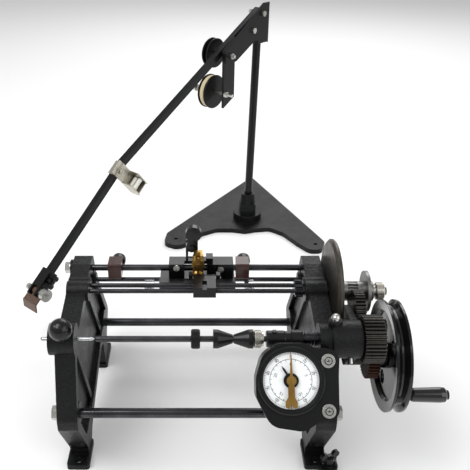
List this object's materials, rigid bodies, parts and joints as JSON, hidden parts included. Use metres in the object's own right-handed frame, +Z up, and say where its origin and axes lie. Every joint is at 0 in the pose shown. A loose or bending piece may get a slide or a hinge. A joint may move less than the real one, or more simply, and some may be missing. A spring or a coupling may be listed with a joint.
{
  "type": "hand coil winding machine",
  "caption": "Hand cranked wire coil winder with two side castings, geared spindle and traverse, dial turn counter and a separate wire tension stand.",
  "frame": {"origin": "centre of the four foot holes of the winder, on the bench", "axes": "+Z up, +X along the winding spindle towards the crank wheel, +Y to the back, where the tension stand is"},
  "size_m": [0.4771, 0.8392, 0.384],
  "materials": {
    "black_casting": "rough paint on a sand casting",
    "black_enamel": "satin black paint",
    "black_oxide_steel": "black oxide",
    "polished_steel": "polished",
    "dark_steel": "dark polished steel",
    "dark_gear_steel": "dark cut gear steel",
    "grey_steel": "ground and slightly dull",
    "disc_steel": "dull grey brown steel",
    "zinc_steel": "zinc plated",
    "knurled_nickel": "knurled and nickel plated",
    "nickel_plate": "nickel plated sheet",
    "brass": "plain turned brass",
    "brown_fibre": "brown laminated fibre",
    "brown_bakelite": "moulded bakelite",
    "black_plastic": "moulded black plastic",
    "gloss_black_plastic": "polished black plastic",
    "white_enamel": "white enamelled dial",
    "white_plastic": "white plastic",
    "cream_felt": "dense felt"
  },
  "bodies": {
    "frame": {"left_frame": "black_casting", "right_frame": "black_casting", "tie_rods": "dark_steel", "frame_bolts": "zinc_steel", "upper_guide_rod": "dark_steel", "lower_guide_rod": "dark_steel", "handwheel_shaft": "zinc_steel", "oil_cap": "zinc_steel", "counter_housing": "black_enamel", "counter_dial": "white_enamel", "counter_bolts": "zinc_steel", "stand_foot": "black_casting", "stand_post": "black_enamel", "head_bracket": "black_enamel", "head_bolts": "zinc_steel", "head_springs": "zinc_steel"},
    "tailstock": {"tailstock_pin": "polished_steel"},
    "tailstock_lock": {"ball_lock_knob": "black_plastic"},
    "crank_wheel": {"handwheel": "black_enamel", "handwheel_gear": "brown_fibre", "crank_pin": "zinc_steel"},
    "grip": {"crank_grip": "gloss_black_plastic"},
    "spindle": {"spindle_shaft": "dark_steel", "drive_head": "black_oxide_steel", "spindle_gear": "dark_gear_steel", "winding_rod": "dark_steel", "cones": "black_oxide_steel"},
    "rod_thumb_wheel": {"thumb_wheel": "black_oxide_steel"},
    "rod_nut": {"knurled_nut": "knurled_nickel"},
    "idler": {"idler_gear": "dark_gear_steel"},
    "front_screw": {"front_lead_screw": "dark_steel", "friction_disc": "disc_steel", "traverse_sleeve": "grey_steel"},
    "sleeve_disc": {"adjusting_disc": "grey_steel"},
    "screw_nut": {"end_knurled_nut": "knurled_nickel"},
    "rear_screw": {"rear_lead_screw": "dark_steel"},
    "carriage": {"carriage_body": "black_oxide_steel", "carriage_screws": "zinc_steel", "roller_bracket": "brass"},
    "nut_lever": {"half_nut": "black_oxide_steel"},
    "reversing_rod": {"push_rod": "polished_steel"},
    "roller_up": {"upper_roller": "brass"},
    "roller_low": {"lower_roller": "brass"},
    "carriage_knob": {"lobed_knob": "black_plastic"},
    "stop_left": {"left_stop": "brown_bakelite"},
    "stop_right": {"right_stop": "brown_bakelite"},
    "stop_left_screw": {"left_stop_knob": "black_plastic"},
    "stop_right_screw": {"right_stop_knob": "black_plastic"},
    "hand_long": {"long_hand": "brass"},
    "hand_short": {"short_hand": "black_oxide_steel"},
    "foot_knob": {"foot_wing_knob": "black_plastic"},
    "pulley": {"upper_pulley": "black_enamel"},
    "wheel": {"tension_wheel": "black_enamel", "felt_rim": "cream_felt"},
    "arm": {"dancer_arm": "black_enamel", "arm_clip": "nickel_plate", "end_bracket": "black_enamel"},
    "arm_knob": {"arm_wing_knob": "black_plastic"},
    "clip_roller_back": {"back_clip_roller": "white_plastic"},
    "clip_roller_front": {"front_clip_roller": "white_plastic"}
  },
  "joints": [
    {"name": "tailstock_slide", "type": "slide", "parent": "frame", "child": "tailstock", "axis": [1, 0, 0], "range_m": [-0.02, 0]},
    {"name": "tailstock_lock_turn", "type": "hinge", "parent": "frame", "child": "tailstock_lock", "pos_m": [-0.1268, -0.0982, 0.1661], "axis": [0, -0.6018, 0.7986], "range_deg": [0, 360]},
    {"name": "crank_turn", "type": "hinge", "parent": "frame", "child": "crank_wheel", "pos_m": [0, -0.0742, 0.1281], "axis": [1, 0, 0], "continuous": true},
    {"name": "grip_spin", "type": "hinge", "parent": "crank_wheel", "child": "grip", "pos_m": [0, -0.11624, 0.11205], "axis": [1, 0, 0], "continuous": true},
    {"name": "spindle_turn", "type": "hinge", "parent": "frame", "child": "spindle", "pos_m": [0, -0.0982, 0.1661], "axis": [1, 0, 0], "continuous": true},
    {"name": "thumb_wheel_turn", "type": "hinge", "parent": "spindle", "child": "rod_thumb_wheel", "pos_m": [0, -0.0982, 0.1661], "axis": [1, 0, 0], "range_deg": [-180, 180]},
    {"name": "knurled_nut_turn", "type": "hinge", "parent": "spindle", "child": "rod_nut", "pos_m": [0, -0.0982, 0.1661], "axis": [1, 0, 0], "range_deg": [-180, 180]},
    {"name": "idler_turn", "type": "hinge", "parent": "frame", "child": "idler", "pos_m": [0, -0.0532, 0.1661], "axis": [1, 0, 0], "continuous": true},
    {"name": "front_screw_turn", "type": "hinge", "parent": "frame", "child": "front_screw", "pos_m": [0, -0.0221, 0.1722], "axis": [1, 0, 0], "continuous": true},
    {"name": "sleeve_disc_slide", "type": "slide", "parent": "front_screw", "child": "sleeve_disc", "axis": [1, 0, 0], "range_m": [-0.003, 0.003]},
    {"name": "screw_nut_turn", "type": "hinge", "parent": "front_screw", "child": "screw_nut", "pos_m": [0, -0.0221, 0.1722], "axis": [1, 0, 0], "range_deg": [-180, 180]},
    {"name": "rear_screw_turn", "type": "hinge", "parent": "frame", "child": "rear_screw", "pos_m": [0, -0.0109, 0.1722], "axis": [1, 0, 0], "continuous": true},
    {"name": "carriage_slide", "type": "slide", "parent": "frame", "child": "carriage", "axis": [1, 0, 0], "range_m": [-0.04, 0]},
    {"name": "half_nut_flip", "type": "hinge", "parent": "carriage", "child": "nut_lever", "pos_m": [0, -0.001, 0.176], "axis": [1, 0, 0], "range_deg": [-2, 2]},
    {"name": "reversing_rod_slide", "type": "slide", "parent": "carriage", "child": "reversing_rod", "axis": [1, 0, 0], "range_m": [-0.003, 0.003]},
    {"name": "upper_roller_spin", "type": "hinge", "parent": "carriage", "child": "roller_up", "pos_m": [0.0012, 0.0085, 0.1876], "axis": [0, 1, 0], "continuous": true},
    {"name": "lower_roller_spin", "type": "hinge", "parent": "carriage", "child": "roller_low", "pos_m": [0.0012, 0.0085, 0.1699], "axis": [0, 1, 0], "continuous": true},
    {"name": "carriage_knob_turn", "type": "hinge", "parent": "carriage", "child": "carriage_knob", "pos_m": [-0.00575, 0.024, 0.2015], "axis": [0, 1, 0], "range_deg": [-25, 25]},
    {"name": "left_stop_slide", "type": "slide", "parent": "frame", "child": "stop_left", "axis": [1, 0, 0], "range_m": [-0.008, 0.038]},
    {"name": "right_stop_slide", "type": "slide", "parent": "frame", "child": "stop_right", "axis": [1, 0, 0], "range_m": [0, 0.048]},
    {"name": "left_stop_screw_turn", "type": "hinge", "parent": "stop_left", "child": "stop_left_screw", "pos_m": [-0.0885, 0.03, 0.175], "axis": [0, 1, 0], "range_deg": [-180, 180]},
    {"name": "right_stop_screw_turn", "type": "hinge", "parent": "stop_right", "child": "stop_right_screw", "pos_m": [0.0525, 0.03, 0.175], "axis": [0, 1, 0], "range_deg": [-180, 180]},
    {"name": "long_hand_turn", "type": "hinge", "parent": "frame", "child": "hand_long", "pos_m": [0.0846, -0.1532, 0.1608], "axis": [0, -0.829, 0.5592], "continuous": true},
    {"name": "short_hand_turn", "type": "hinge", "parent": "frame", "child": "hand_short", "pos_m": [0.0846, -0.1532, 0.1608], "axis": [0, -0.829, 0.5592], "continuous": true},
    {"name": "foot_knob_turn", "type": "hinge", "parent": "frame", "child": "foot_knob", "pos_m": [0.141, -0.103, 0.01], "axis": [0, 0, 1], "range_deg": [-180, 180]},
    {"name": "upper_pulley_spin", "type": "hinge", "parent": "frame", "child": "pulley", "pos_m": [0.02545, 0.4327, 0.3166], "axis": [0.7547, -0.6561, 0], "continuous": true},
    {"name": "tension_wheel_spin", "type": "hinge", "parent": "frame", "child": "wheel", "pos_m": [0.0227, 0.42344, 0.2588], "axis": [0.7547, -0.6561, 0], "continuous": true},
    {"name": "arm_swing", "type": "hinge", "parent": "frame", "child": "arm", "pos_m": [0.0909, 0.47903, 0.3685], "axis": [0.7547, -0.6561, 0], "range_deg": [-20, 0]},
    {"name": "arm_knob_turn", "type": "hinge", "parent": "arm", "child": "arm_knob", "pos_m": [-0.19246, 0.13477, 0.08621], "axis": [0.7547, -0.6561, 0], "range_deg": [-180, 180]},
    {"name": "back_clip_roller_spin", "type": "hinge", "parent": "arm", "child": "clip_roller_back", "pos_m": [-0.08944, 0.25237, 0.17674], "axis": [-0.5099, -0.5866, -0.6292], "continuous": true},
    {"name": "front_clip_roller_spin", "type": "hinge", "parent": "arm", "child": "clip_roller_front", "pos_m": [-0.0837, 0.24738, 0.17674], "axis": [-0.5099, -0.5866, -0.6292], "continuous": true}
  ],
  "couplings": [
    {"joint": "spindle_turn", "follows": "crank_turn", "ratio": -1},
    {"joint": "idler_turn", "follows": "crank_turn", "ratio": 1},
    {"joint": "front_screw_turn", "follows": "crank_turn", "ratio": -2.4},
    {"joint": "rear_screw_turn", "follows": "crank_turn", "ratio": 2.4},
    {"joint": "long_hand_turn", "follows": "crank_turn", "ratio": 0.01},
    {"joint": "short_hand_turn", "follows": "crank_turn", "ratio": 0.0004}
  ]
}
